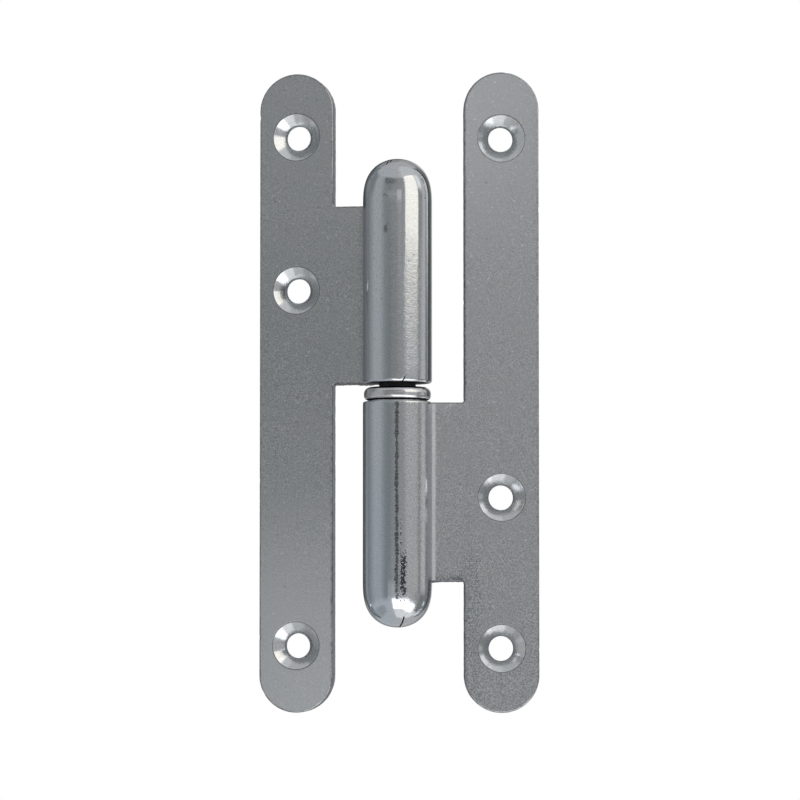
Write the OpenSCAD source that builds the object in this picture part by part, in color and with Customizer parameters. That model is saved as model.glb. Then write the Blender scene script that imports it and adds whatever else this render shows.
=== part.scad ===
// Lift-off pin hinge with two round-ended leaves and rolled, closed knuckles.
// The origin is on the pin's axis at the middle of the leaves' height.
// +Z points up along the pin and the countersunk faces look towards -Y.

/* [Leaves] */
// Height of each leaf
leaf_height = 140; // [120:1:180]
// Width of each leaf's strip, which its round ends follow
leaf_width = 16.4; // [14:0.1:20]
// Distance from the pin's axis to each leaf's outer edge
leaf_reach = 31; // [29:0.5:40]
// Thickness of the sheet that leaves and knuckles are made of
sheet = 3.5; // [3:0.1:4]
// Distance of each leaf's countersunk face behind the pin's axis
face_setback = 1.1; // [0.6:0.1:1.6]
// Bevel that the press leaves round the countersunk face
edge_bevel = 0.35; // [0.1:0.05:0.6]
// Radius in the corners between strip and tab
notch_radius = 0.6; // [0.3:0.1:1.5]
// Angle that each leaf slopes back from the flat position
leaf_slope = 7; // [0:0.5:30]

/* [Screw holes] */
// Diameter of the screw holes
hole_d = 5.4; // [4:0.1:6]
// Diameter of the countersinks at the face
sink_d = 10.3; // [8:0.1:11]
// Distance between the outer two holes
hole_spacing = 111.4; // [100:0.1:112]
// Distance of the pattern's middle from the leaf's middle, towards the knuckle
hole_shift = 0.3; // [0:0.1:1]
// Distance of the third hole from the knuckle's open end
third_hole = 20.7; // [15:0.1:25]

/* [Knuckles] */
// Length of each knuckle with its nose
knuckle_length = 49; // [44:0.5:58]
// Length of the closed nose
nose_length = 10.5; // [8:0.5:14]
// Length of the tab that the knuckle is rolled from
tab_length = 39; // [32:0.5:42]
// Distance of the lower knuckle's open end below the leaf's middle
lower_end = 2.45; // [1:0.05:4]
// Radius behind the knuckle where the sheet bends into the roll
root_radius = 4; // [2:0.5:6]
// Rounding of the rim at a knuckle's open end
rim_round = 0.4; // [0.2:0.1:0.8]

/* [Seam] */
// Width of the seam where the roll's end meets the sheet
seam_width = 0.2; // [0.1:0.05:0.4]
// Depth of the seam
seam_depth = 1.2; // [0.5:0.1:2]
// Width of the slit pressed shut at the nose's tip
slit_width = 0.3; // [0.15:0.05:0.5]
// Angle of that slit round the pin's axis from the face towards the leaf
slit_angle = 17; // [0:1:60]
// Distance from the pin's axis at which the slit starts
slit_start = 1.2; // [0.5:0.1:3]
// Distance from the pin's axis at which the slit ends
slit_end = 5; // [4:0.1:6]

/* [Pin and ring] */
// Diameter of the pin
pin_d = 8; // [6:0.5:10]
// Bevel at the pin's ends
pin_bevel = 0.8; // [0.3:0.1:1.5]
// Clearance round the pin in the upper knuckle
pin_play = 0.05; // [0.02:0.01:0.1]
// Height of the ring
ring_height = 3; // [2:0.1:4]
// Outer diameter of the ring
ring_d = 14.6; // [13:0.1:16]
// Clearance round the pin in the ring
ring_play = 0.1; // [0.05:0.01:0.1]
// Free height over the ring, because the upper leaf rests on the pin's tip
ring_gap = 1.05; // [0.3:0.05:2]
// Radius of the ring's upper edge
ring_top_round = 1.15; // [0.5:0.05:1.2]
// Radius of the ring's lower edge
ring_bottom_round = 0.7; // [0.3:0.05:0.8]

/* [Hidden] */
$fn = 96;
knuckle_r = pin_d / 2 + pin_play + sheet;
strip_mid = leaf_reach - leaf_width / 2;
strip_inner = leaf_reach - leaf_width;
upper_end = ring_height + ring_gap - lower_end;
socket_depth = knuckle_length - nose_length;
pin_length = 2 * socket_depth + ring_height + ring_gap;
sheet_back = face_setback + sheet;
overlap = 1;
nose_steps = 24;
round_steps = 8;
steel = [0.60, 0.62, 0.64];

// Half-width of the nose at a height over its root
function nose_r(h) = knuckle_r * sqrt(1 - pow(h / nose_length, 3));

// The nose's outline from its root to its tip, pulled in by a depth
function nose_points(depth) = [
    for (i = [0 : nose_steps])
    let (a = 90 * i / nose_steps, h = nose_length * sin(a))
    [max(0, nose_r(h) - depth * cos(a)), h - depth * sin(a)]
];

// Points along a quarter arc round a centre
function arc(centre, radius, from) = [
    for (i = [0 : round_steps])
    let (a = from + 90 * i / round_steps)
    centre + radius * [cos(a), sin(a)]
];

// Lays a shape drawn in the leaf's plane on its back face, with its height towards the front
module on_sheet() {
    translate([0, sheet_back, 0]) rotate([90, 0, 0]) children();
}

// A bar of sheet with a beveled front edge on both sides
module sheet_bar(width, length) {
    rotate([90, 0, 0]) linear_extrude(length, center = true) polygon([
        [-width / 2, 0],
        [width / 2, 0],
        [width / 2, sheet - edge_bevel],
        [width / 2 - edge_bevel, sheet],
        [-width / 2 + edge_bevel, sheet],
        [-width / 2, sheet - edge_bevel]
    ]);
}

// A strip's round end
module round_end() {
    rotate_extrude() polygon([
        [0, 0],
        [leaf_width / 2, 0],
        [leaf_width / 2, sheet - edge_bevel],
        [leaf_width / 2 - edge_bevel, sheet],
        [0, sheet]
    ]);
}

// The small radius between the strip's inner edge and the tab's end
module notch_fillet(side) {
    mirror([0, side < 0 ? 1 : 0, 0]) linear_extrude(sheet - edge_bevel) difference() {
        translate([-notch_radius, -overlap]) square([notch_radius + overlap, notch_radius + overlap]);
        translate([-notch_radius, notch_radius]) circle(notch_radius);
    }
}

// The flat part of a leaf: a strip with round ends, and the tab
module leaf_plate(end) {
    straight = leaf_height - leaf_width;
    tab_reach = strip_inner + overlap - knuckle_r + sheet / 2;
    on_sheet() {
        translate([strip_mid, 0, 0]) sheet_bar(leaf_width, straight);
        for (side = [-1, 1]) translate([strip_mid, side * straight / 2, 0]) round_end();
        translate([strip_inner + overlap - tab_reach / 2, -end - tab_length / 2, 0])
            rotate([0, 0, 90]) sheet_bar(tab_length, tab_reach);
        translate([strip_inner, -end, 0]) notch_fillet(1);
        translate([strip_inner, -end - tab_length, 0]) notch_fillet(-1);
    }
}

// One countersunk screw hole, cut from the sheet at a height
module screw_hole(height) {
    sink_depth = (sink_d - hole_d) / 2;
    on_sheet() translate([strip_mid, height, 0]) {
        translate([0, 0, -overlap]) cylinder(d = hole_d, h = sheet + 2 * overlap);
        translate([0, 0, sheet - sink_depth]) cylinder(d1 = hole_d, d2 = sink_d, h = sink_depth);
        translate([0, 0, sheet]) cylinder(d = sink_d, h = overlap);
    }
}

// The outside of a knuckle: a round barrel with a rounded rim, and its closed nose
module knuckle_body() {
    rotate_extrude() polygon(concat(
        [[0, 0]],
        arc([knuckle_r - rim_round, rim_round], rim_round, -90),
        [for (p = nose_points(0)) p + [0, socket_depth]]
    ));
}

// The thickened root where the sheet bends into the roll
module knuckle_root() {
    fillet_x = sqrt(pow(knuckle_r + root_radius, 2) - pow(sheet_back + root_radius, 2));
    touch = knuckle_r / (knuckle_r + root_radius) * [fillet_x, sheet_back + root_radius];
    linear_extrude(tab_length) difference() {
        polygon([[0, face_setback], [fillet_x, face_setback], [fillet_x, sheet_back], touch]);
        translate([fillet_x, sheet_back + root_radius]) circle(root_radius);
    }
}

// A thin cut into the knuckle's skin, in a plane through its axis or parallel to it
module skin_cut(width, from, to) {
    rotate([90, 0, 0]) linear_extrude(width) difference() {
        translate([from, -overlap]) square([to - from, knuckle_length + 2 * overlap]);
        polygon(concat(
            [[0, -2 * overlap], [knuckle_r - seam_depth, -2 * overlap]],
            [for (p = nose_points(seam_depth)) p + [0, socket_depth]]
        ));
    }
}

// A knuckle with its open end down and its leaf towards +X
module knuckle(bore) {
    difference() {
        union() {
            knuckle_body();
            knuckle_root();
        }
        translate([0, 0, -overlap]) cylinder(d = bore, h = socket_depth + overlap);
        translate([0, face_setback, 0]) skin_cut(seam_width, 0, knuckle_r + overlap);
        rotate([0, 0, slit_angle - 90]) translate([0, slit_width / 2, socket_depth])
            intersection() {
                translate([0, 0, -socket_depth]) skin_cut(slit_width, slit_start, slit_end);
                translate([0, -overlap, nose_length / 2]) cube([knuckle_r, 2 * overlap, nose_length]);
            }
    }
}

// Half a hinge with its leaf towards +X and its knuckle down
module hinge_half(end, bore) {
    difference() {
        union() {
            leaf_plate(end);
            translate([0, 0, -end]) mirror([0, 0, 1]) knuckle(bore);
        }
        for (side = [-1, 1]) screw_hole(side * hole_spacing / 2 - hole_shift);
        screw_hole(-end - third_hole);
    }
}

// The half that is screwed to the frame and holds the pin
module lower_leaf() {
    color(steel) rotate([0, 0, leaf_slope]) hinge_half(lower_end, pin_d);
}

// The half that is screwed to the door and drops over the pin
module upper_leaf() {
    color(steel) rotate([0, 0, -leaf_slope]) rotate([0, 180, 0])
        hinge_half(upper_end, pin_d + 2 * pin_play);
}

// The pin, from the lower socket's end to the upper socket's end
module pin() {
    color([0.45, 0.46, 0.48]) translate([0, 0, -lower_end - socket_depth])
        rotate_extrude() polygon([
            [0, 0],
            [pin_d / 2 - pin_bevel, 0],
            [pin_d / 2, pin_bevel],
            [pin_d / 2, pin_length - pin_bevel],
            [pin_d / 2 - pin_bevel, pin_length],
            [0, pin_length]
        ]);
}

// The loose ring between the knuckles
module bearing_ring() {
    bore_r = pin_d / 2 + ring_play;
    color([0.66, 0.68, 0.70]) translate([0, 0, -lower_end]) rotate_extrude() polygon(concat(
        [[bore_r, 0]],
        arc([ring_d / 2 - ring_bottom_round, ring_bottom_round], ring_bottom_round, -90),
        arc([ring_d / 2 - ring_top_round, ring_height - ring_top_round], ring_top_round, 0),
        [[bore_r, ring_height]]
    ));
}

lower_leaf();
upper_leaf();
pin();
bearing_ring();
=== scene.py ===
from math import cos, exp, pi, radians, sin, sqrt

import bmesh
import bpy
from mathutils import Matrix, Vector, noise


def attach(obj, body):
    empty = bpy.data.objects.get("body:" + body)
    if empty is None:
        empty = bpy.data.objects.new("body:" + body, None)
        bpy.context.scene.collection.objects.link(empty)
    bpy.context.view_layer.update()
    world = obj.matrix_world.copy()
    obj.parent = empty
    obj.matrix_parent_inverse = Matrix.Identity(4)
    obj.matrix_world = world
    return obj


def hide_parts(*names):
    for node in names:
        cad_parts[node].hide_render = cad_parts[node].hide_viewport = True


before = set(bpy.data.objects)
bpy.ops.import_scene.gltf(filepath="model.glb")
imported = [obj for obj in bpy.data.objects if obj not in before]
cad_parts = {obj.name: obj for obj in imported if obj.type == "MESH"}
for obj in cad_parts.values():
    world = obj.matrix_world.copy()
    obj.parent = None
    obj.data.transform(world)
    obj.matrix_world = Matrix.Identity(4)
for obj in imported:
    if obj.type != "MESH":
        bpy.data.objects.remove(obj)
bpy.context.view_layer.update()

# Sizes of the hinge as in the part's source, in millimetres and degrees
MM = 0.001
LEAF_HEIGHT = 140
LEAF_REACH = 31
LEAF_WIDTH = 16.4
STRIP_MID = LEAF_REACH - LEAF_WIDTH / 2
STRIP_INNER = LEAF_REACH - LEAF_WIDTH
SHEET = 3.5
FACE = 1.1
BACK = FACE + SHEET
SLOPE = 7
EDGE_ROUND = 0.35
NOTCH = 0.6
TAB = 39
HOLE_R = 2.7
SINK_R = 5.15
HOLE_SPACING = 111.4
HOLE_SHIFT = 0.3
THIRD_HOLE = 20.7
KNUCKLE = 49
NOSE = 10.5
SOCKET = KNUCKLE - NOSE
LOWER_END = 2.45
UPPER_END = 1.6
ROOT_R = 4
LOWER_RIM = 0.4
SEAM_DEPTH = 1.2
PIN_R = 4
PIN_BEVEL = 0.8
PIN_PLAY = 0.05
RING_R = 7.3
RING_PLAY = 0.1

# Sizes that differ a little from the source, or are only here. The first two keep the knuckle's skin and the
# leaf's edge just inside the solids.
KNUCKLE_R = 7.54
INSET = 0.015
JOIN = 5.8
SINK_DEPTH = 2.15
TURNS = 14
UPPER_RIM = 0.62
SEAM_WIDTH = 0.22
WELT_ROOT = 6.8
WELT_START = 7.40
WELT_WIDTH = 1.35
WELT_RISE = 0.50
RING_HEIGHT = 3.15
RING_LIFT = 0.22
RING_TOP_ROUND = 1.45
RING_BOTTOM_ROUND = 1.15
RING_FOOT = RING_R - 1.3
RING_BREAK = 0.3

# Where the bend behind a knuckle starts, leaves the sheet's back and ends, in degrees from the leaf, and how
# far it reaches at most
ROOT_START = 14
ROOT_BEND = 31
ROOT_END = 48.5
ROOT_LIMIT = 8.6

# Steps round a screw hole, the pin and the ring
HOLE_STEPS = 96
PIN_STEPS = 96
RING_STEPS = 160

# Material slots of the two leaves. INSIDE holds painted shade: the knuckles' bores, open ends and cuts are
# near black.
FLAT, ROLLED, SHEARED, TORN, RUBBED, TURNED, INSIDE = range(7)

# The side that a leaf is on, seen from the countersunk faces
RIGHT, LEFT = 1, -1

# The score line down the lower knuckle, in degrees round the pin from the camera's side towards +X
SCORE_ANGLE = 2.6

# Camera, in metres and degrees, with the lens and sensor in millimetres
EYE_DISTANCE = 0.900
EYE_YAW = 3.8885
EYE_PITCH = 3.1734
EYE_HEIGHT = -0.05194
EYE_SIDE = 0.00055
LENS = 186.534
SENSOR = 36


def make_camera():
    data = bpy.data.cameras.new("camera")
    data.lens = LENS
    data.sensor_width = SENSOR
    data.clip_start = 0.05
    data.clip_end = 50
    camera = bpy.data.objects.new("camera", data)
    yaw = radians(EYE_YAW)
    camera.location = (
        EYE_SIDE * cos(yaw) + EYE_DISTANCE * sin(yaw),
        EYE_SIDE * sin(yaw) - EYE_DISTANCE * cos(yaw),
        EYE_HEIGHT,
    )
    camera.rotation_euler = (radians(90 + EYE_PITCH), 0, yaw)
    bpy.context.scene.collection.objects.link(camera)
    bpy.context.scene.camera = camera


class Graph:
    """Makes shader nodes with short calls. An input is a plain value or another node's output."""

    def __init__(self, tree):
        self.tree = tree

    def put(self, node, key, value):
        if isinstance(value, bpy.types.NodeSocket):
            self.tree.links.new(value, node.inputs[key])
        else:
            node.inputs[key].default_value = value

    def add(self, kind, inputs=None, **settings):
        node = self.tree.nodes.new(kind)
        for name, value in settings.items():
            setattr(node, name, value)
        for key, value in (inputs or {}).items():
            self.put(node, key, value)
        return node

    def math(self, operation, a, b=0.0, c=0.0):
        return self.add("ShaderNodeMath", {0: a, 1: b, 2: c}, operation=operation).outputs[0]

    def times(self, a, b):
        return self.math("MULTIPLY", a, b)

    def times_plus(self, a, b, c):
        return self.math("MULTIPLY_ADD", a, b, c)

    def larger(self, a, b):
        return self.math("MAXIMUM", a, b)

    def noise(self, vector, scale, detail=3.0, rough=0.5):
        inputs = {"Vector": vector, "Scale": scale, "Detail": detail, "Roughness": rough}
        return self.add("ShaderNodeTexNoise", inputs).outputs["Fac"]

    def grains(self, vector, scale, low, high):
        """Small ragged grains, 1 inside them and 0 between them."""
        return self.span(self.noise(vector, scale, 2, 0.75), low, high)

    def span(self, value, low, high, to_low=0.0, to_high=1.0):
        """A smooth step from one result to another while a value runs from low to high."""
        inputs = {0: value, 1: low, 2: high, 3: to_low, 4: to_high}
        return self.add("ShaderNodeMapRange", inputs, interpolation_type="SMOOTHSTEP").outputs[0]

    def window(self, value, low, high, soft):
        """1 between two values and 0 outside, with soft ends."""
        rise = self.span(value, low - soft, low + soft)
        return self.times(rise, self.span(value, high - soft, high + soft, 1.0, 0.0))

    def parts(self, vector):
        return self.add("ShaderNodeSeparateXYZ", {0: vector}).outputs

    def mix(self, factor, a, b):
        node = self.add("ShaderNodeMix", data_type="RGBA")
        self.put(node, 0, factor)
        self.put(node, 6, a)
        self.put(node, 7, b)
        return node.outputs[2]

    def azimuth(self, x, y):
        """The angle round the pin from the camera's side towards +X, in degrees."""
        return self.times(self.math("ARCTAN2", x, self.times(y, -1.0)), 180 / pi)


# Light

# What the zinc mirrors around it: an azimuth from the camera's side towards +X, in degrees, and the tone
# that it gives the metal there, where 255 is white
WALLS = (
    (-180, 100), (-155, 66), (-138, 68), (-120, 90), (-108, 114), (-92, 134), (-78, 149), (-56, 147),
    (-36, 119), (-21, 115), (-13, 126), (13, 131), (24, 132), (33, 151), (74, 152), (80, 106), (93, 165),
    (124, 158), (138, 120), (150, 84), (157, 84), (163, 175), (173, 160),
)
ANY = 400
# Panels in front of the walls: azimuth from, to, softness; elevation from, to, softness; tone
PANELS = (
    (-44, -4, 12, 28, 40, 4, 98),
    (-28, 6, 6, 3.5, 4.9, 0.5, 96),
    (-30, 20, 8, 7.5, 15, 3, 137),
    (-140, -85, 8, 10, 39, 5, 114),
    (80, 97, 4, 17, 48, 3, 212),
    (83, 97, 4, 5.2, 12, 1.0, 126),
    (104, 120, 5, 5.2, 26, 2.0, 166),
    (-ANY, ANY, 1, 43.5, ANY, 2.5, 158),
    (20, 120, 15, 43.5, 84, 2.5, 178),
    (-ANY, -132, 8, 34, 57, 5, 128),
    (150, ANY, 8, 28, 50, 5, 138),
    (-ANY, ANY, 1, -ANY, -20, 8, 162),
    (-108, -50, 15, -56, -33, 4, 139),
    (-ANY, -112, 10, -30, -6, 4, 126),
    (150, ANY, 8, -30, -6, 4, 128),
    (64, 112, 8, -31, -8, 5, 134),
    (86, 112, 4, -46, -8, 4, 112),
    (-15, 110, 6, -86, -45, 3, 206),
    (56, 84, 5, -52, -33, 3, 216),
    (-16, 46, 4, -49, -20.5, 2, 290),
    (38, 76, 5, -54, -27, 4, 285),
)
# The share of the light that the zinc gives back
REFLECTANCE = 0.6
WHITE = (1, 1, 1)
# Upright panels of light that face the pin's axis: name, azimuth in degrees, distance, bottom, top and width
# in metres, brightness, colour
LIGHTS = (
    ("key", 54.2, 0.35, 0.060, 0.43, 0.310, 1.0, (1.0, 0.93, 0.80)),
    ("low_left", -17, 0.4, -0.20, -0.042, 0.16, 0.18, WHITE),
    ("high_right", 10, 0.4, 0.085, 0.16, 0.10, 0.25, WHITE),
)
# The floor, in metres
FLOOR_SIZE = 9.0
FLOOR_LEVEL = -0.30


def radiance(tone):
    """How bright a panel is that gives the zinc this displayed tone."""
    return ((tone / 255 + 0.055) / 1.055) ** 2.4 / REFLECTANCE


def panel_colour(tone):
    """Dim panels are a little greener than bright ones."""
    green = min(1.0, max(0.0, (130 - tone) / 30))
    value = radiance(tone)
    return (value * (1 - 0.08 * green), value, value * (1 - 0.03 * green), 1)


def make_world():
    """A studio that only the metal mirrors. Everything else is lit by plain white."""
    world = bpy.data.worlds.new("studio")
    bpy.context.scene.world = world
    world.use_nodes = True
    world.node_tree.nodes.clear()
    g = Graph(world.node_tree)
    x, y, z = g.parts(g.add("ShaderNodeTexCoord").outputs["Generated"])
    azimuth = g.azimuth(x, y)
    elevation = g.times(g.math("ARCSINE", z), 180 / pi)
    ramp = g.add("ShaderNodeValToRGB", {0: g.times_plus(azimuth, 1 / 360, 0.5)})
    stops = ramp.color_ramp.elements
    for number, (angle, tone) in enumerate(WALLS):
        place = angle / 360 + 0.5
        stop = stops[0] if number == 0 else stops.new(place)
        stop.position = place
        stop.color = panel_colour(tone)
    stops[-1].color = panel_colour(WALLS[0][1])
    colour = ramp.outputs[0]
    for left, right, side_soft, low, high, end_soft, tone in PANELS:
        across = g.window(azimuth, left, right, side_soft)
        there = g.times(across, g.window(elevation, low, high, end_soft))
        colour = g.mix(there, colour, panel_colour(tone))
    mirrored = g.add("ShaderNodeLightPath").outputs["Is Glossy Ray"]
    white = g.add("ShaderNodeBackground", {"Color": (1, 1, 1, 1), "Strength": 1.0}).outputs[0]
    room = g.add("ShaderNodeBackground", {"Color": colour, "Strength": 1.0}).outputs[0]
    both = g.add("ShaderNodeMixShader", {0: mirrored, 1: white, 2: room}).outputs[0]
    g.add("ShaderNodeOutputWorld", {0: both})


def standing_light(name, azimuth, distance, low, high, width, brightness, colour):
    """One of the upright panels of light. On a mirror it shows with its brightness."""
    data = bpy.data.lights.new(name, "AREA")
    data.shape = "RECTANGLE"
    data.size = width
    data.size_y = high - low
    data.energy = brightness * pi * (width * (high - low))
    data.color = colour
    light = bpy.data.objects.new(name, data)
    a = radians(azimuth)
    middle = (low + high) / 2
    place = Vector((sin(a) * distance, -cos(a) * distance, middle))
    light.location = place
    light.rotation_euler = (Vector((0, 0, middle)) - place).to_track_quat("-Z", "Y").to_euler()
    light.visible_camera = False
    bpy.context.scene.collection.objects.link(light)


def make_lights():
    for light in LIGHTS:
        standing_light(*light)


def make_floor():
    bpy.ops.mesh.primitive_grid_add(
        x_subdivisions=8, y_subdivisions=8, size=FLOOR_SIZE, location=(0, 0, FLOOR_LEVEL))
    floor = bpy.context.object
    floor.name = "floor"
    material = bpy.data.materials.new("pale_floor")
    material.use_nodes = True
    g = Graph(material.node_tree)
    shader = material.node_tree.nodes["Principled BSDF"]
    tone = g.noise(g.add("ShaderNodeTexCoord").outputs["Object"], 9)
    g.put(shader, "Base Color", g.mix(tone, (0.955, 0.955, 0.955, 1), (0.97, 0.97, 0.97, 1)))
    g.put(shader, "Roughness", 0.9)
    floor.data.materials.append(material)
    floor.visible_glossy = False


# Materials

# Colours that are mixed into the zinc, and the two ends of its grain on faces, on knuckles and where turned
DULL = (0.42, 0.45, 0.46, 1)
# Painted light for the lower end of the left leaf
PAINTED_LIGHT = (0.80, 0.81, 0.84, 1)
# Painted shade for the crease where the left tab meets its knuckle
CREASE_SHADE = (0.20, 0.21, 0.22, 1)
SHADED = (0.36, 0.42, 0.43, 1)
SPECK = (0.84, 0.85, 0.86, 1)
PIT = (0.26, 0.26, 0.30, 1)
TEAR = (0.10, 0.10, 0.12, 1)
BURR = (0.16, 0.16, 0.17, 1)
CUT_DIRT = (0.05, 0.05, 0.06, 1)
WARM = (0.62, 0.605, 0.61, 1)
COOL = (0.53, 0.605, 0.68, 1)
# Dirt, and painted shade in the upper knuckle's crease
DIRT_AND_SHADE = (0.032, 0.029, 0.046, 1)
# Painted shade for the pin in the gap between the washer and the upper knuckle
GAP_SHADE = (0.045, 0.045, 0.048, 1)
FLAT_GRAIN = (0.34, 0.35, 0.38, 1), (0.86, 0.88, 0.89, 1)
ROLLED_GRAIN = (0.40, 0.42, 0.45, 1), (0.82, 0.84, 0.85, 1)
TURNED_GRAIN = (0.45, 0.47, 0.49, 1), (0.84, 0.86, 0.87, 1)


class Metal:
    """A metal with soft patches of colour and a fine grain. Each material adds its own detail to it."""

    def __init__(self, name, base, tint, roughness, grain_scale):
        self.material = bpy.data.materials.new(name)
        self.material.use_nodes = True
        self.shader = self.material.node_tree.nodes["Principled BSDF"]
        g = Graph(self.material.node_tree)
        self.g = g
        self.place = g.add("ShaderNodeTexCoord").outputs["Object"]
        patches = g.noise(self.place, 220, 3, 0.6)
        self.colour = g.mix(g.span(patches, 0.3, 0.7), base, tint)
        self.grain = g.noise(self.place, grain_scale, 2, 0.6)
        self.rough = g.span(self.grain, 0.3, 0.7, roughness - 0.02, roughness + 0.04)
        g.put(self.shader, "Metallic", 1.0)

    def around_pin(self):
        """The angle round the pin in degrees, and the height in millimetres."""
        x, y, z = self.g.parts(self.place)
        return self.g.azimuth(x, y), self.g.math("DIVIDE", z, MM)

    def blend(self, mask, colour, share=1.0):
        """Mixes in a share of a colour where a mask is 1."""
        factor = mask if share == 1.0 else self.g.times(mask, share)
        self.colour = self.g.mix(factor, self.colour, colour)

    def blend_grain(self, mask, grain, tones):
        """Mixes in the two tones of a grain."""
        self.blend(mask, self.g.mix(self.g.span(grain, 0.36, 0.64), *tones))

    def roughen(self, mask, roughness):
        """Makes the metal at least this rough where a mask is 1."""
        self.rough = self.g.larger(self.rough, self.g.times(mask, roughness))

    def finish(self, bumps, depth):
        """Gives the shader its inputs, with bumps of a depth in metres. Returns the material."""
        g = self.g
        g.put(self.shader, "Base Color", self.colour)
        g.put(self.shader, "Roughness", self.rough)
        bump = g.add("ShaderNodeBump", {"Strength": 1.0, "Distance": depth, "Height": bumps})
        g.put(self.shader, "Normal", bump.outputs[0])
        return self.material


def strip_edge(g, x, height):
    """1 along the straight edges of both leaves but not where a tab joins, and less at the far left."""
    middle = (STRIP_MID * cos(radians(SLOPE)) - FACE * sin(radians(SLOPE))) * MM
    reach = g.math("SUBTRACT", g.math("ABSOLUTE", x), middle)
    half_width = LEAF_WIDTH / 2
    near = g.span(g.math("ABSOLUTE", reach), (half_width - 0.75) * MM, (half_width - 0.35) * MM)
    from_end = g.times(height, g.math("SIGN", g.times(x, -1.0)))
    tab = g.window(from_end, UPPER_END * MM, (LOWER_END + TAB) * MM, 0.0004)
    inner = g.math("LESS_THAN", reach, 0.0)
    near = g.times(near, g.math("SUBTRACT", 1.0, g.times(tab, inner)))
    return g.times(near, g.span(x, -0.029, -0.025, 0.3, 1.0))


def flat_zinc():
    """The leaves' faces. The grain is strongest low on the right leaf and weakest low on the left one. The
    left leaf has a dull band, painted light that makes it lighter below the band, and painted shade in the
    crease at its knuckle. The right one is shaded at its lower notch and torn along its tab's edge. Both
    have specks, pits and burred edges."""
    metal = Metal("zinc_flat", (0.575, 0.605, 0.62, 1), (0.595, 0.605, 0.635, 1), 0.21, 3500)
    g, place = metal.g, metal.place
    x, _, height = g.parts(place)
    right = g.span(x, -0.01, 0.01)
    left = g.math("SUBTRACT", 1.0, right)
    rubbed = g.span(g.noise(place, 95, 3, 0.6), 0.35, 0.65, 0.24, 0.46)
    strong_left = g.times(left, g.span(height, -0.045, 0.0, 0.45, 1.0))
    strong_right = g.times(right, g.span(height, -0.055, 0.01, 1.35, 0.75))
    rubbed = g.times(rubbed, g.math("ADD", strong_left, strong_right))
    rubbed = g.times(rubbed, g.span(height, 0.052, 0.022, 0.7, 1.0))
    metal.blend(g.times(left, g.window(height, -0.004, 0.032, 0.012)), DULL, 0.3)
    # Painted light: the left leaf is made lighter low down.
    metal.blend(g.times(left, g.span(height, -0.015, -0.04)), PAINTED_LIGHT, 0.6)
    # Painted shade: the left tab is darkened in the crease where it meets its knuckle.
    metal.blend(g.times(left, g.span(x, -0.0092, -0.0074)), CREASE_SHADE, 0.4)
    notch = g.times(g.window(x, 0.0135, 0.0175, 0.0012), g.window(height, -0.066, -0.036, 0.003))
    metal.blend_grain(g.times_plus(notch, 0.58, rubbed), metal.grain, FLAT_GRAIN)
    metal.blend(notch, SHADED, 0.3)
    metal.blend(g.span(g.noise(place, 1500, 1, 0.5), 0.67, 0.74), SPECK, 0.6)
    metal.blend(g.span(g.noise(place, 1300, 1, 0.5), 0.26, 0.20), PIT, 0.5)
    torn = g.times(g.span(height, -0.0395, -0.0412), g.window(x, 0.002, 0.0142, 0.0006))
    metal.blend(g.times(torn, g.grains(place, 2400, 0.44, 0.56)), TEAR, 0.8)
    uneven = g.times(g.grains(place, 1500, 0.44, 0.62), g.grains(place, 120, 0.38, 0.62))
    metal.blend(g.times(strip_edge(g, x, height), uneven), BURR, 0.6)
    waves = g.noise(place, 45, 2, 0.5)
    return metal.finish(g.times_plus(waves, 4.0, metal.grain), 0.0000036)


def patch(g, place, mask):
    """Small dark grains that stand close together where a mask is 1 and thin out towards 0."""
    close = g.times_plus(mask, 0.31, g.noise(place, 2300, 2, 0.75))
    return g.times(g.span(close, 0.66, 0.76), g.span(mask, 0.0, 0.2))


def score_dirt(g, place, angle, height):
    """Dirt along the line that the lower knuckle was scored with, and the smudge beside it."""
    along = g.add("ShaderNodeCombineXYZ", {0: 0.0, 1: 0.0, 2: g.times(height, MM)}).outputs[0]
    wander = g.span(g.noise(along, 120, 2, 0.5), 0.2, 0.8, -0.8, 0.8)
    wide = g.span(g.noise(along, 600, 3, 0.7), 0.35, 0.65, 1.5, 3.5)
    wide = g.math("ADD", wide, g.span(height, -9.0, -5.0, 0.0, 0.5))
    off = g.math("ABSOLUTE", g.math("SUBTRACT", g.math("SUBTRACT", angle, SCORE_ANGLE), wander))
    ragged = g.times_plus(g.noise(place, 2600, 2, 0.7), -8.0, 4.0)
    line = g.span(g.math("SUBTRACT", g.math("ADD", off, ragged), wide), -0.9, 0.9, 1.0, 0.0)
    line = g.times(line, g.window(height, -45.2, -2.8, 0.3))
    line = g.times(line, g.span(g.noise(along, 3000, 2, 0.7), 0.38, 0.56, 0.62, 1.0))
    smudge = g.times(g.window(angle, 7.5, 19.0, 4.0), g.window(height, -45.0, -35.0, 3.0))
    stem = g.times(g.window(angle, 7.5, 12.5, 1.5), g.window(height, -43.0, -27.0, 3.0))
    smudge = patch(g, place, g.larger(smudge, g.times(stem, 0.6)))
    return g.larger(g.times(line, 0.86), g.times(smudge, 0.95))


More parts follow.
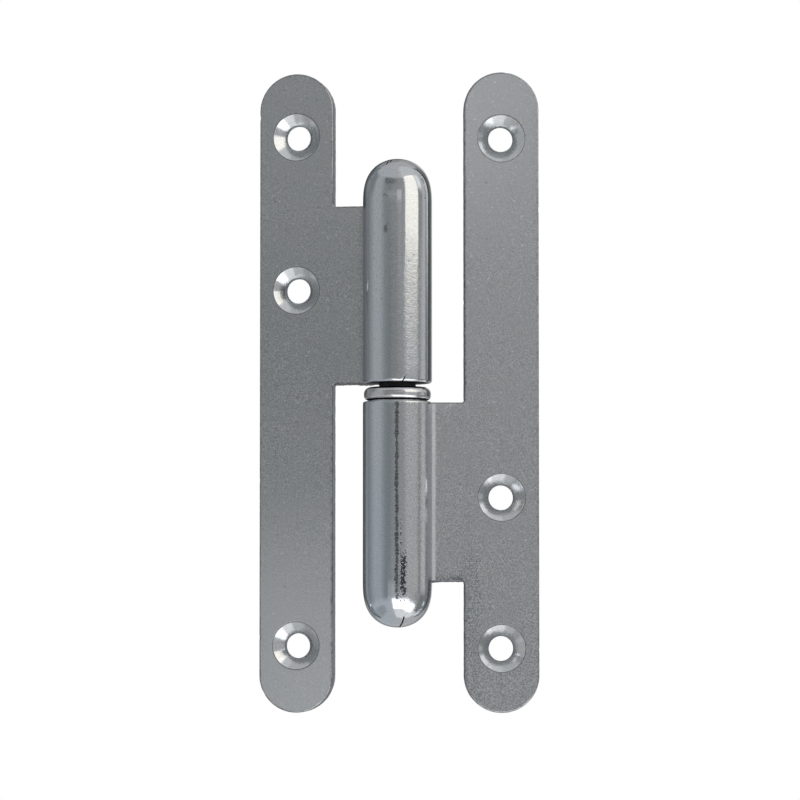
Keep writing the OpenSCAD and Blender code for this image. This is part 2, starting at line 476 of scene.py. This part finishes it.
def nose_dirt_and_shade(g, place, angle, height):
    """Dull spots in a row down the upper knuckle, small pits, dark grime on its nose and in its nick, and
    painted shade in the crease at its tab."""
    row = g.times(g.window(angle, -19.5, -12.5, 3.5), g.span(g.noise(place, 420, 2, 0.6), 0.53, 0.64))
    row = g.times(row, g.times(g.window(height, 33.0, 47.0, 2.0), 0.55))
    pits = g.times(g.grains(place, 900, 0.70, 0.74), 0.5)
    band = g.times(g.window(angle, -21.0, -6.0, 2.5), g.window(height, 44.6, 45.7, 0.4))
    band = g.times(patch(g, place, g.times(band, 0.7)), 0.6)
    lean = g.times_plus(height, -3.5, angle)
    nick = g.times(g.window(lean, 5.6, 8.0, 0.7), g.window(height, 1.4, 2.7, 0.3))
    # Painted shade: the upper knuckle is darkened towards the crease at its tab.
    crease = g.times(g.span(angle, -46.0, -72.0, 0.0, 0.54), g.window(height, -2.0, 43.0, 2.0))
    return g.larger(g.larger(g.larger(row, pits), crease), g.larger(band, nick))


def rolled_zinc(name, dirt_and_shade_of):
    """A knuckle's skin, streaked along the pin. It is bluer at the left, warmer at the lower knuckle's right,
    and rougher at the right of both."""
    metal = Metal(name, (0.565, 0.605, 0.64, 1), (0.60, 0.61, 0.635, 1), 0.10, 2500)
    g, place = metal.g, metal.place
    angle, height = metal.around_pin()
    nose = g.span(g.math("ABSOLUTE", height), 31.0, 38.0)
    lower = g.times(g.span(height, 1.0, -1.0), g.span(angle, 2.5, 24.0))
    metal.blend(g.times(lower, g.span(height, -46.0, -40.0, 0.0, 0.5)), WARM)
    metal.blend(g.times(g.window(angle, -120.0, -6.0, 14.0), g.span(height, 20.0, -45.0, 0.5, 1.0)), COOL)
    stretched = g.add("ShaderNodeMapping", {"Vector": place, "Scale": (1, 1, 0.025)}).outputs[0]
    streaks = g.noise(stretched, 1100, 3, 0.65)
    mottle = g.noise(place, 1100, 2, 0.6)
    fine = g.noise(place, 4200, 2, 0.6)
    metal.blend_grain(g.times_plus(lower, 0.3, 0.22), fine, ROLLED_GRAIN)
    rugged = g.times_plus(lower, 1.6, g.span(nose, 0.0, 1.0, 1.0, 0.12))
    grainy = g.times(g.window(angle, 6.0, 46.0, 9.0), g.span(height, 33.0, 22.0))
    rugged = g.times_plus(g.times(grainy, g.span(height, 1.0, 5.0)), 2.2, rugged)
    # Dirt, and on the upper knuckle also painted shade in the crease at its tab
    dirt_and_shade = dirt_and_shade_of(g, place, angle, height)
    metal.blend(dirt_and_shade, DIRT_AND_SHADE)
    metal.roughen(dirt_and_shade, 0.4)
    grained = g.times_plus(fine, 0.8, g.math("ADD", metal.grain, mottle))
    bumps = g.times_plus(streaks, 1.1, g.times(grained, rugged))
    return metal.finish(g.times_plus(dirt_and_shade, -2.0, bumps), 0.0000085)


def cut_zinc(name, light, dark, darkness):
    """A sheared edge with dark grains, which are a little weaker on its front part."""
    metal = Metal(name, light, dark, 0.38, 1800)
    g = metal.g
    x, y, _ = g.parts(metal.place)
    across = g.times(g.math("ABSOLUTE", x), -sin(radians(SLOPE)))
    depth = g.times_plus(y, cos(radians(SLOPE)), across)
    behind = g.span(depth, (FACE + 0.8) * MM, (FACE + 1.5) * MM, 0.8, 1.0)
    metal.blend(g.times(g.grains(metal.place, 1500, 0.48, 0.60), behind), CUT_DIRT, darkness)
    return metal.finish(metal.grain, 0.00002)


def turned_zinc(name, light, dark, roughness):
    """Turned or rubbed metal, cleaner and brighter than the sheet."""
    metal = Metal(name, light, dark, roughness, 2400)
    metal.blend_grain(0.22, metal.grain, TURNED_GRAIN)
    return metal.finish(metal.grain, 0.000012)


def pin_steel():
    """Bright steel, painted dark over its lower part: painted shade in the gap between the washer and the
    upper knuckle.
    """
    metal = Metal("pin_steel", (0.50, 0.505, 0.51, 1), (0.43, 0.435, 0.445, 1), 0.20, 1500)
    g = metal.g
    _, height = metal.around_pin()
    level = g.times_plus(g.noise(metal.place, 320, 3, 0.6), 6.0, height)
    # Painted shade: the pin is darkened below a ragged line a few millimetres above the washer.
    gap_shade = g.span(level, 7.0, 11.0, 1.0, 0.0)
    metal.blend(gap_shade, GAP_SHADE)
    metal.roughen(gap_shade, 0.45)
    return metal.finish(metal.grain, 0.000006)


# Painted shade: near-black metal for the knuckles' bores, open ends and the cuts of the seam and slits.
def painted_shade_inside():
    metal = Metal("zinc_shade_inside", (0.05, 0.05, 0.053, 1), (0.035, 0.035, 0.038, 1), 0.45, 1500)
    return metal.finish(metal.grain, 0.00001)


# Shapes

def wobble(x, y, z, size, seed=0.0):
    """Smooth noise between about -1 and 1, for a feature size in millimetres."""
    return noise.noise(Vector((x / size + seed, y / size - seed, z / size + 2 * seed)))


def bell(value, middle, width):
    """A smooth bump of height 1."""
    return exp(-((value - middle) / width) ** 2)


def line(a, b, count):
    """Points from a to b without b."""
    return [(a[0] + (b[0] - a[0]) * i / count, a[1] + (b[1] - a[1]) * i / count) for i in range(count)]


def arc(centre, radius, start, end, count):
    """Points on an arc without its last one. Angles are in degrees."""
    points = []
    for i in range(count):
        a = radians(start + (end - start) * i / count)
        points.append((centre[0] + radius * cos(a), centre[1] + radius * sin(a)))
    return points


def leaf_outline(inset, end):
    """The leaf's outline seen from the front, pulled in by a length, as x and z."""
    straight = LEAF_HEIGHT / 2 - LEAF_WIDTH / 2
    radius = LEAF_WIDTH / 2 - inset
    outer = LEAF_REACH - inset
    inner = STRIP_INNER + inset
    corner = STRIP_INNER - NOTCH
    top = -end
    bottom = -end - TAB
    return (
        line((outer, -straight), (outer, straight), 180)
        + arc((STRIP_MID, straight), radius, 0, 180, 44)
        + line((inner, straight), (inner, top + NOTCH), 110)
        + arc((corner, top + NOTCH), NOTCH + inset, 0, -90, 6)
        + line((corner, top - inset), (JOIN, top - inset), 44)
        + line((JOIN, top - inset), (JOIN, bottom + inset), 20)
        + line((JOIN, bottom + inset), (corner, bottom + inset), 44)
        + arc((corner, bottom - NOTCH), NOTCH + inset, 90, 0, 6)
        + line((inner, bottom - NOTCH), (inner, -straight), 60)
        + arc((STRIP_MID, -straight), radius, 180, 360, 44)
    )


def bridge(bm, loop_a, loop_b, slot):
    """Quads between two closed loops of the same length."""
    count = len(loop_a)
    for i in range(count):
        j = (i + 1) % count
        bm.faces.new((loop_a[i], loop_a[j], loop_b[j], loop_b[i])).material_index = slot


def cap(bm, loop, tip, slot):
    """Triangles from a closed loop to a point."""
    tip = bm.verts.new(tip)
    for i in range(len(loop)):
        bm.faces.new((loop[i], loop[(i + 1) % len(loop)], tip)).material_index = slot


def closed_edges(bm, loop):
    return [bm.edges.get((loop[i], loop[(i + 1) % len(loop)])) for i in range(len(loop))]


def edge_levels():
    """How far the leaf's outline is pulled in, and how deep: over the rounded rim and down the cut edge."""
    levels = []
    for step in range(6):
        a = radians(90 * step / 5)
        levels.append((INSET + EDGE_ROUND * (1 - sin(a)), FACE + EDGE_ROUND * (1 - cos(a))))
    return levels + [(INSET, FACE + 1.3), (0.04, FACE + 1.8), (0.06, BACK - 0.10), (0.13, BACK)]


def edge_shape(x, z, facing_out, y, inset, end):
    """How far the leaf's edge is pulled in at one place: it is a little uneven, and burred along the tab."""
    burred = x < STRIP_INNER - 0.2 and facing_out
    nicks = max(0.0, wobble(x, y / 3, z, 0.5, end + 9) - 0.5) * 0.5
    uneven = 0.25 * inset * wobble(x, 0, z, 1.6, end)
    if y > FACE + 1:
        uneven += 0.03 * (1 + wobble(x, y, z, 0.7, end))
        if burred:
            uneven -= 0.16 + 0.12 * wobble(x, 0, z, 0.5, end) + 0.15 * bell(x, 7.6, 1.6)
    elif burred:
        uneven += 0.10 * wobble(x, 0, z, 0.5, end)
    return inset + uneven + nicks


def hole_profile(end):
    """A countersunk hole's radius and depth from front to back, with the fine rings that the tool left."""
    profile = [(SINK_R + 0.35, FACE), (SINK_R + 0.13, FACE), (SINK_R + 0.01, FACE + 0.03)]
    for step in range(TURNS + 1):
        t = 0.02 + 0.96 * step / TURNS
        ridge = 0.009 * (1 if step % 2 else -1) + 0.006 * wobble(step, 0, 0, 2.3, end)
        hollow = t - 0.12 * t * (1 - t)
        profile.append((SINK_R + (HOLE_R - SINK_R) * t, FACE + SINK_DEPTH * hollow + ridge))
    return profile + [(HOLE_R, FACE + SINK_DEPTH + 0.06), (HOLE_R, BACK - 0.08), (HOLE_R + 0.1, BACK)]


def hole_slot(number):
    """The material of a hole's band, counted from the front: the face, the thin rim, the cone, the bore."""
    if number < 2:
        return (FLAT, TORN)[number]
    return TURNED if number < TURNS + 3 else SHEARED


def leaf_mesh(end, side):
    """The flat leaf with its tab and countersunk holes, with the tab's end hidden in the knuckle."""
    bm = bmesh.new()
    full, pulled = leaf_outline(0, end), leaf_outline(1, end)
    loops = []
    for inset, y in edge_levels():
        loop = []
        for (x0, z0), (x1, z1) in zip(full, pulled):
            own = edge_shape(x0, z0, (z1 - z0) * side > 0.9, y, inset, end)
            loop.append(bm.verts.new((x0 + (x1 - x0) * own, y, z0 + (z1 - z0) * own)))
        loops.append(loop)
    for a, b in zip(loops, loops[1:]):
        bridge(bm, a, b, SHEARED)
    fronts, backs = [loops[0]], [loops[-1]]
    for height in (HOLE_SPACING / 2 - HOLE_SHIFT, -HOLE_SPACING / 2 - HOLE_SHIFT, -end - THIRD_HOLE):
        rings = []
        for radius, y in hole_profile(end):
            points = arc((STRIP_MID, height), radius, 0, 360, HOLE_STEPS)
            rings.append([bm.verts.new((x, y, z)) for x, z in points])
        for number, (a, b) in enumerate(zip(rings, rings[1:])):
            bridge(bm, b, a, hole_slot(number))
        fronts.append(rings[0])
        backs.append(rings[-1])
    for group, normal in ((fronts, (0, -1, 0)), (backs, (0, 1, 0))):
        edges = [e for loop in group for e in closed_edges(bm, loop)]
        made = bmesh.ops.triangle_fill(bm, edges=edges, use_beauty=True, normal=normal)
        for item in made["geom"]:
            if isinstance(item, bmesh.types.BMFace):
                item.material_index = FLAT
    tab_edge = end + TAB if side == RIGHT else end
    for face in bm.faces:
        x, _, z = face.calc_center_median()
        if face.material_index == SHEARED and x < STRIP_INNER - 0.1 and abs(z + tab_edge) < 0.5:
            face.material_index = TORN
    bmesh.ops.recalc_face_normals(bm, faces=bm.faces)
    return bm


def nose_radius(height):
    """The closed nose's radius at a height above its start."""
    return KNUCKLE_R * sqrt(max(0.0, 1 - (height / NOSE) ** 3))


def root_reach(theta):
    """How far the bend behind the knuckle reaches from the pin's axis, at an angle from the leaf in degrees.
    Near the leaf it is the sheet's back, and beyond that the round into the knuckle."""
    if not ROOT_START < theta < ROOT_END:
        return 0
    a = radians(theta)
    if theta <= ROOT_BEND:
        return min(ROOT_LIMIT, (BACK - 0.05) / sin(a))
    gap = BACK + ROOT_R
    fillet_x = sqrt((KNUCKLE_R + ROOT_R) ** 2 - gap ** 2)
    along = fillet_x * cos(a) + gap * sin(a)
    across = fillet_x ** 2 + gap ** 2 - ROOT_R ** 2
    inside = along ** 2 - across
    return along - sqrt(inside) if inside > 0 else 0


def knuckle_angles(fine):
    """Angles round the knuckle every 2.5 degrees, and every half degree in its fine part."""
    start, stop = fine
    coarse = [2.5 * i for i in range(144)]
    close = [start + 0.5 * i for i in range(int((stop - start) / 0.5) + 1)]
    return sorted(set([t for t in coarse if not start < t < stop] + close))


def knuckle_skin(rim):
    """The knuckle's radius and height from its rounded rim to just below the nose's tip."""
    rim_steps, rows, nose_rows = 6, 120, 40
    skin = []
    for step in range(rim_steps + 1):
        a = radians(90 * step / rim_steps)
        skin.append((KNUCKLE_R - rim * (1 - sin(a)), rim * (1 - cos(a))))
    for i in range(1, rows + 1):
        skin.append((KNUCKLE_R, rim + (SOCKET - rim) * i / rows))
    for i in range(1, nose_rows):
        height = NOSE * sin(radians(90 * i / nose_rows))
        skin.append((nose_radius(height), SOCKET + height))
    return skin


def knuckle_mesh(bore, end, side, rim, marks, fine):
    """A barrel with its closed nose up, its open end at the origin's height. Marks are dents in its skin."""
    thetas = knuckle_angles(fine)
    inner = [(bore, SOCKET), (bore, SOCKET * 0.5), (bore, 0.35), (bore + 0.3, 0.0)]
    bm = bmesh.new()
    loops = []
    for radius, height in inner:
        points = [(radius * cos(radians(t)), radius * sin(radians(t)), height) for t in thetas]
        loops.append([bm.verts.new(point) for point in points])
    for radius, height in knuckle_skin(rim):
        loop = []
        for t in thetas:
            phi = t + 97 if side == RIGHT else -97 - t
            phi = (phi + 180) % 360 - 180
            z = -side * (end + height)
            r = radius + marks(phi, z) * min(1.0, max(0.0, (KNUCKLE - height) / 3))
            if height < TAB - 0.3:
                r = max(r, root_reach(t))
            elif height < TAB:
                r = max(r, r + (root_reach(t) - r) * (TAB - height) / 0.3)
            loop.append(bm.verts.new((r * cos(radians(t)), r * sin(radians(t)), height)))
        loops.append(loop)
    for number, (a, b) in enumerate(zip(loops, loops[1:])):
        bridge(bm, a, b, INSIDE if number < len(inner) else ROLLED)
    cap(bm, loops[0], (0, 0, SOCKET), INSIDE)
    cap(bm, loops[-1], (0, 0, KNUCKLE), ROLLED)
    bmesh.ops.recalc_face_normals(bm, faces=bm.faces)
    return bm


def prism(points, low, high, place):
    """A closed prism over a polygon, as a mesh whose points are put in place by a function."""
    bm = bmesh.new()
    bottom = [bm.verts.new(place(a, b, low)) for a, b in points]
    top = [bm.verts.new(place(a, b, high)) for a, b in points]
    bridge(bm, bottom, top, INSIDE)
    bm.faces.new(bottom).material_index = INSIDE
    bm.faces.new(top).material_index = INSIDE
    bmesh.ops.recalc_face_normals(bm, faces=bm.faces)
    return bm


def welt_mesh(end):
    """The narrow hollow ramp where the tab runs up against the roll's free end."""
    ramp = []
    for step in range(9):
        t = step / 8
        ramp.append((WELT_START + WELT_WIDTH * t, FACE - 0.005 - WELT_RISE * (1 - t) ** 2))
    points = [(WELT_ROOT, FACE + 0.6), (WELT_ROOT, ramp[0][1])] + ramp + [(ramp[-1][0], FACE + 0.6)]
    bm = prism(points, -end - TAB + 0.3, -end - 0.3, lambda a, b, level: (a, b, level))
    for face in bm.faces:
        face.material_index = RUBBED if face.calc_center_median().x < 8.3 else FLAT
    return bm


def skin_line(depth):
    """Points at a depth under the nose's skin, from its start to its tip, as radius and height."""
    points = []
    for angle in range(0, 89, 4):
        a = radians(angle)
        height = NOSE * sin(a)
        points.append((nose_radius(height) - depth * cos(a), SOCKET + height - depth * sin(a)))
    return points


def seam_mesh(front):
    """What is cut from a knuckle where the roll's end meets the sheet. Front is the depth it starts at."""
    outside = [(KNUCKLE_R + 0.02, -1.0), (KNUCKLE_R + 0.02, SOCKET + 0.4)]
    outside += [(x + 0.6, z + 0.3) for x, z in skin_line(0.0)[2:]]
    inside = skin_line(SEAM_DEPTH)[::-1] + [(KNUCKLE_R - SEAM_DEPTH, -1.0)]
    return prism(outside + inside, front, front + SEAM_WIDTH, lambda a, b, level: (a, level, b))


def slit_mesh(angle, offset, width, start, stop):
    """A slit at a nose's tip, pressed almost shut."""
    turn = radians(angle - 90)

    def place(a, b, level):
        return (a * cos(turn) - level * sin(turn), a * sin(turn) + level * cos(turn), b)

    top = KNUCKLE + 1
    points = [(start, top), (stop, top), (stop, SOCKET + NOSE * 0.70), (start, SOCKET + NOSE * 0.86)]
    return prism(points, offset - width / 2, offset + width / 2, place)


def as_object(name, bm, materials):
    mesh = bpy.data.meshes.new(name)
    bm.to_mesh(mesh)
    bm.free()
    for material in materials:
        mesh.materials.append(material)
    piece = bpy.data.objects.new(name, mesh)
    bpy.context.scene.collection.objects.link(piece)
    return piece


def combine(piece, other, operation):
    """Joins or cuts with another mesh, which is then thrown away."""
    change = piece.modifiers.new("combine", "BOOLEAN")
    change.operation = operation
    change.object = other
    change.solver = "EXACT"
    change.material_mode = "INDEX"
    bpy.context.view_layer.update()
    result = piece.evaluated_get(bpy.context.evaluated_depsgraph_get())
    mesh = bpy.data.meshes.new_from_object(result)
    piece.modifiers.clear()
    piece.data = mesh
    bpy.data.objects.remove(other)


def smooth(piece, angle):
    """Shades a piece smoothly, apart from edges sharper than an angle."""
    piece.data.polygons.foreach_set("use_smooth", [True] * len(piece.data.polygons))
    piece.data.set_sharp_from_angle(angle=radians(angle))
    normals = piece.modifiers.new("normals", "WEIGHTED_NORMAL")
    normals.keep_sharp = True
    normals.weight = 80


def half(name, node, body, side, end, bore, rim, marks, fine, seam, slits, materials):
    """One leaf with its knuckle, in place. Seam is how far in front of the leaf's face the seam starts."""
    leaf = as_object(name, leaf_mesh(end, side), materials)
    if side == RIGHT:
        combine(leaf, as_object("welt", welt_mesh(end), materials), "UNION")
    knuckle = as_object(name + "_knuckle", knuckle_mesh(bore, end, side, rim, marks, fine), materials)
    for cutter in [seam_mesh(FACE - seam)] + [slit_mesh(*slit) for slit in slits]:
        combine(knuckle, as_object("cutter", cutter, materials), "DIFFERENCE")
    knuckle.data.transform(Matrix.Translation((0, 0, -end)) @ Matrix.Scale(-1, 4, (0, 0, 1)))
    knuckle.data.flip_normals()
    combine(leaf, knuckle, "UNION")
    leaf.data.transform(Matrix.Scale(MM, 4))
    if side == LEFT:
        leaf.data.transform(Matrix.Rotation(pi, 4, "Y"))
    leaf.data.transform(Matrix.Rotation(radians(SLOPE * side), 4, "Z"))
    smooth(leaf, 38)
    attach(leaf, body)
    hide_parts(node)


def lathe(name, profile, count, material):
    """A closed ring of revolution, or a solid one where the profile starts and ends on the axis."""
    bm = bmesh.new()
    solid = profile[0][0] == 0
    body = profile[1:-1] if solid else profile
    loops = []
    for radius, height in body:
        points = arc((0, 0), radius, 0, 360, count)
        loops.append([bm.verts.new((x * MM, y * MM, height * MM)) for x, y in points])
    for a, b in zip(loops, loops[1:]):
        bridge(bm, a, b, 0)
    if solid:
        cap(bm, loops[0], (0, 0, profile[0][1] * MM), 0)
        cap(bm, loops[-1], (0, 0, profile[-1][1] * MM), 0)
    else:
        bridge(bm, loops[-1], loops[0], 0)
    bmesh.ops.recalc_face_normals(bm, faces=bm.faces)
    return as_object(name, bm, [material])


def lower_marks(phi, z):
    """Dents in the lower knuckle's skin: the line that the roll was scored along, and slight flats."""
    off = KNUCKLE_R * radians(phi - SCORE_ANGLE)
    depth = 0.06 * max(0.0, 0.55 + 0.9 * wobble(0, 0, z, 0.9, 7))
    groove = -depth * bell(off, 0, 0.2) if -44.8 < z < -2.9 else 0
    return groove + 0.010 * (wobble(phi / 14, 0, z / 8, 1, 2) - 1)


def upper_marks(phi, z):
    """Slight flats in the upper knuckle's skin, and the nick in its rim."""
    nick = -0.12 * bell(phi, 11.0 + (z - 1.6) * 4, 1.5) * bell(z, 2.0, 0.8)
    dull = -0.05 * bell(phi, 6.0, 4.0) * bell(z, 2.2, 0.6)
    return nick + dull + 0.010 * (wobble(phi / 14, 0, z / 8, 1, 4) - 1)


def make_pin(material):
    low, high = -LOWER_END - SOCKET, UPPER_END + SOCKET
    narrow = PIN_R - PIN_BEVEL
    side = [(narrow, low), (PIN_R, low + PIN_BEVEL), (PIN_R, high - PIN_BEVEL), (narrow, high)]
    pin = lathe("pin_rod", [(0, low)] + side + [(0, high)], PIN_STEPS, material)
    smooth(pin, 30)
    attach(pin, "frame_half")
    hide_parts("pin")


def make_ring(material):
    """The bearing washer, with a round edge and a foot that it stands on."""
    bore = PIN_R + RING_PLAY
    low, high = -LOWER_END, -LOWER_END + RING_HEIGHT
    profile = [(bore, high - RING_BREAK), (bore, low + RING_BREAK), (bore + RING_BREAK, low)]
    profile += [(RING_FOOT, low), (RING_FOOT, low + RING_LIFT)]
    under = low + RING_LIFT + RING_BOTTOM_ROUND
    bends = ((RING_BOTTOM_ROUND, under, -78, -4), (RING_TOP_ROUND, high - RING_TOP_ROUND, 4, 91))
    for radius, level, start, end in bends:
        profile += arc((RING_R - radius, level), radius, start, end, 14)
    profile.append((bore + RING_BREAK, high))
    ring = lathe("ring_washer", profile, RING_STEPS, material)
    smooth(ring, 40)
    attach(ring, "ring")
    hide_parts("bearing_ring")


def make_hinge():
    torn = cut_zinc("zinc_torn", (0.25, 0.26, 0.28, 1), (0.17, 0.17, 0.19, 1), 0.8)
    rubbed = turned_zinc("zinc_rubbed", (0.80, 0.82, 0.83, 1), (0.76, 0.77, 0.79, 1), 0.18)
    sink = turned_zinc("zinc_turned", (0.62, 0.655, 0.68, 1), (0.65, 0.66, 0.68, 1), 0.15)
    washer = turned_zinc("zinc_washer", (0.60, 0.61, 0.63, 1), (0.63, 0.63, 0.64, 1), 0.17)
    common = [torn, rubbed, sink, painted_shade_inside()]
    flat = flat_zinc()
    lower_roll = rolled_zinc("zinc_lower_knuckle", score_dirt)
    lower_cut = cut_zinc("zinc_cut_lower", (0.42, 0.44, 0.46, 1), (0.34, 0.35, 0.37, 1), 0.5)
    upper_roll = rolled_zinc("zinc_upper_knuckle", nose_dirt_and_shade)
    upper_cut = cut_zinc("zinc_cut_upper", (0.46, 0.48, 0.50, 1), (0.36, 0.37, 0.39, 1), 0.5)
    # Each slit is its angle in degrees, and its offset, width, start and stop in millimetres
    half(
        "lower_half", "lower_leaf", "frame_half", RIGHT, LOWER_END, bore=PIN_R, rim=LOWER_RIM,
        marks=lower_marks, fine=(262, 274), seam=0.62, slits=((12, 0.0, 0.34, 1.0, 5.5),),
        materials=[flat, lower_roll, lower_cut] + common)
    half(
        "upper_half", "upper_leaf", "door_half", LEFT, UPPER_END, bore=PIN_R + PIN_PLAY, rim=UPPER_RIM,
        marks=upper_marks, fine=(240, 258), seam=0.22,
        slits=((4, 0.60, 0.26, 0.4, 4.0), (4, 1.22, 0.26, 1.8, 4.6)),
        materials=[flat, upper_roll, upper_cut] + common)
    make_pin(pin_steel())
    make_ring(washer)


make_camera()
make_world()
make_lights()
make_floor()
make_hinge()
view = bpy.context.scene.view_settings
view.view_transform = "Standard"
view.look = "None"
